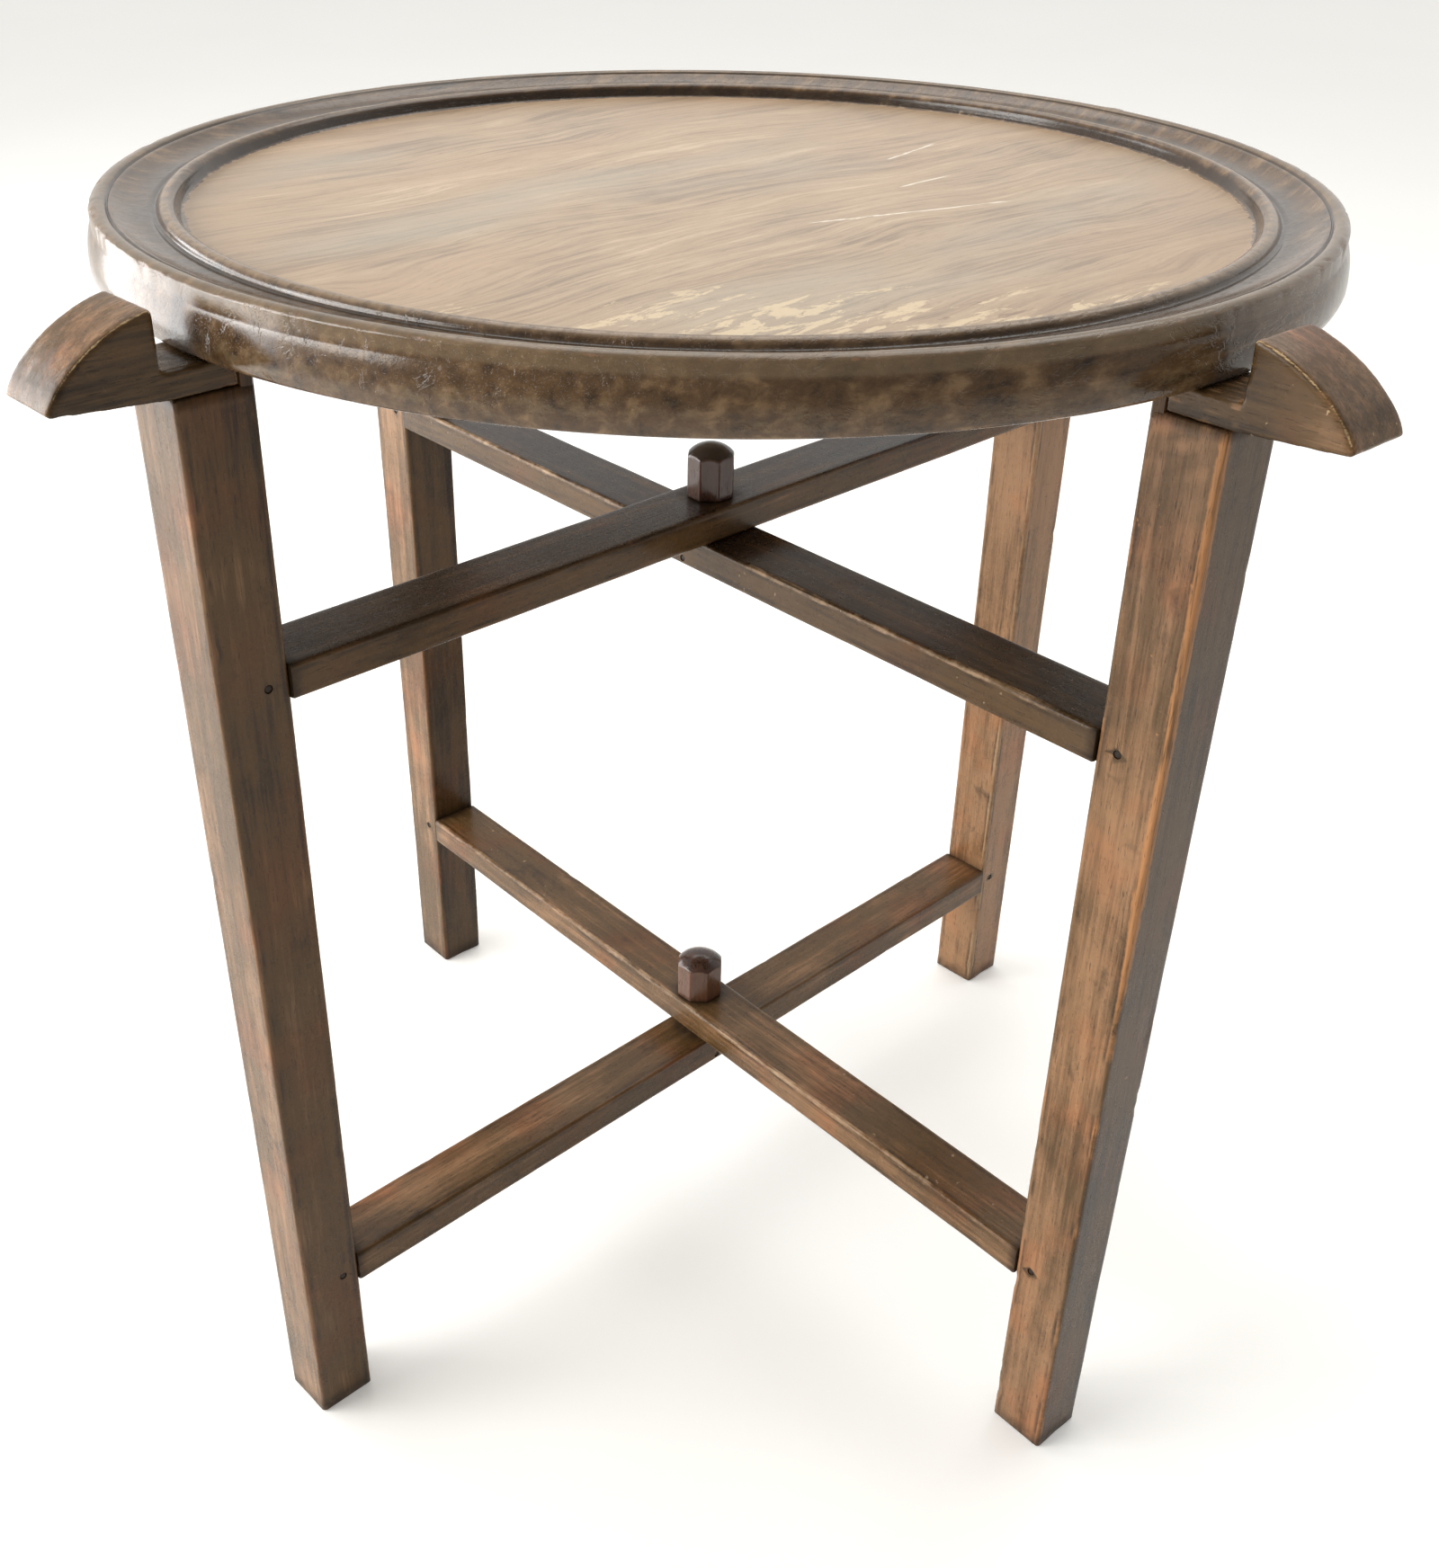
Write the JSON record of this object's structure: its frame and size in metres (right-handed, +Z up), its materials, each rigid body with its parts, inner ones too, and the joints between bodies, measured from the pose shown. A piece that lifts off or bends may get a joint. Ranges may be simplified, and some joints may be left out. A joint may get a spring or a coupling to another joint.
{
  "type": "folding side table",
  "caption": "Wooden side table: a round dished tray rests on two H-shaped leg frames that cross and fold about one upright pivot.",
  "frame": {"origin": "on the floor, on the upright axis the two leg frames turn about, under the middle of the tray", "axes": "+Z up along the pivot axis; +Y points away from the viewer and +X to the right of the front; each frame stands 46.2 degrees either side of +X"},
  "size_m": [0.528, 0.528, 0.566],
  "materials": {
    "tray_top": "old dark stain with worn wax",
    "leg_front_left": "old dark stain, rubbed at the edges",
    "bracket_front_left": "old dark stain, rubbed at the edges",
    "peg_upper_front_left": "dark end grain",
    "peg_lower_front_left": "dark end grain",
    "leg_back_right": "old dark stain, rubbed at the edges",
    "bracket_back_right": "old dark stain, rubbed at the edges",
    "peg_upper_back_right": "dark end grain",
    "peg_lower_back_right": "dark end grain",
    "upper_stretcher_a": "old dark stain, dusty",
    "lower_stretcher_a": "old dark stain, dusty",
    "lower_pivot_pin": "dark polished wood",
    "lower_pin_nail": "dark iron-like, dull",
    "leg_front_right": "old dark stain, rubbed at the edges",
    "bracket_front_right": "old dark stain, rubbed at the edges",
    "peg_upper_front_right": "dark end grain",
    "peg_lower_front_right": "dark end grain",
    "leg_back_left": "old dark stain, rubbed at the edges",
    "bracket_back_left": "old dark stain, rubbed at the edges",
    "peg_upper_back_left": "dark end grain",
    "peg_lower_back_left": "dark end grain",
    "upper_stretcher_b": "old dark stain, dusty",
    "lower_stretcher_b": "old dark stain, dusty",
    "upper_pivot_pin": "dark polished wood",
    "upper_pin_nail": "dark iron-like, dull"
  },
  "bodies": {
    "frame_a": {"leg_front_left": "leg_front_left", "bracket_front_left": "bracket_front_left", "peg_upper_front_left": "peg_upper_front_left", "peg_lower_front_left": "peg_lower_front_left", "leg_back_right": "leg_back_right", "bracket_back_right": "bracket_back_right", "peg_upper_back_right": "peg_upper_back_right", "peg_lower_back_right": "peg_lower_back_right", "upper_stretcher_a": "upper_stretcher_a", "lower_stretcher_a": "lower_stretcher_a", "lower_pivot_pin": "lower_pivot_pin", "lower_pin_nail": "lower_pin_nail"},
    "frame_b": {"leg_front_right": "leg_front_right", "bracket_front_right": "bracket_front_right", "peg_upper_front_right": "peg_upper_front_right", "peg_lower_front_right": "peg_lower_front_right", "leg_back_left": "leg_back_left", "bracket_back_left": "bracket_back_left", "peg_upper_back_left": "peg_upper_back_left", "peg_lower_back_left": "peg_lower_back_left", "upper_stretcher_b": "upper_stretcher_b", "lower_stretcher_b": "lower_stretcher_b", "upper_pivot_pin": "upper_pivot_pin", "upper_pin_nail": "upper_pin_nail"},
    "tray": {"tray_top": "tray_top"}
  },
  "joints": [
    {"name": "fold", "type": "hinge", "parent": "frame_a", "child": "frame_b", "pos_m": [0, 0, 0.2], "axis": [0, 0, 1], "range_deg": [-78.5, 83]},
    {"name": "tray_lift", "type": "slide", "parent": "frame_a", "child": "tray", "axis": [0, 0, 1], "range_m": [0, 0.15]}
  ]
}
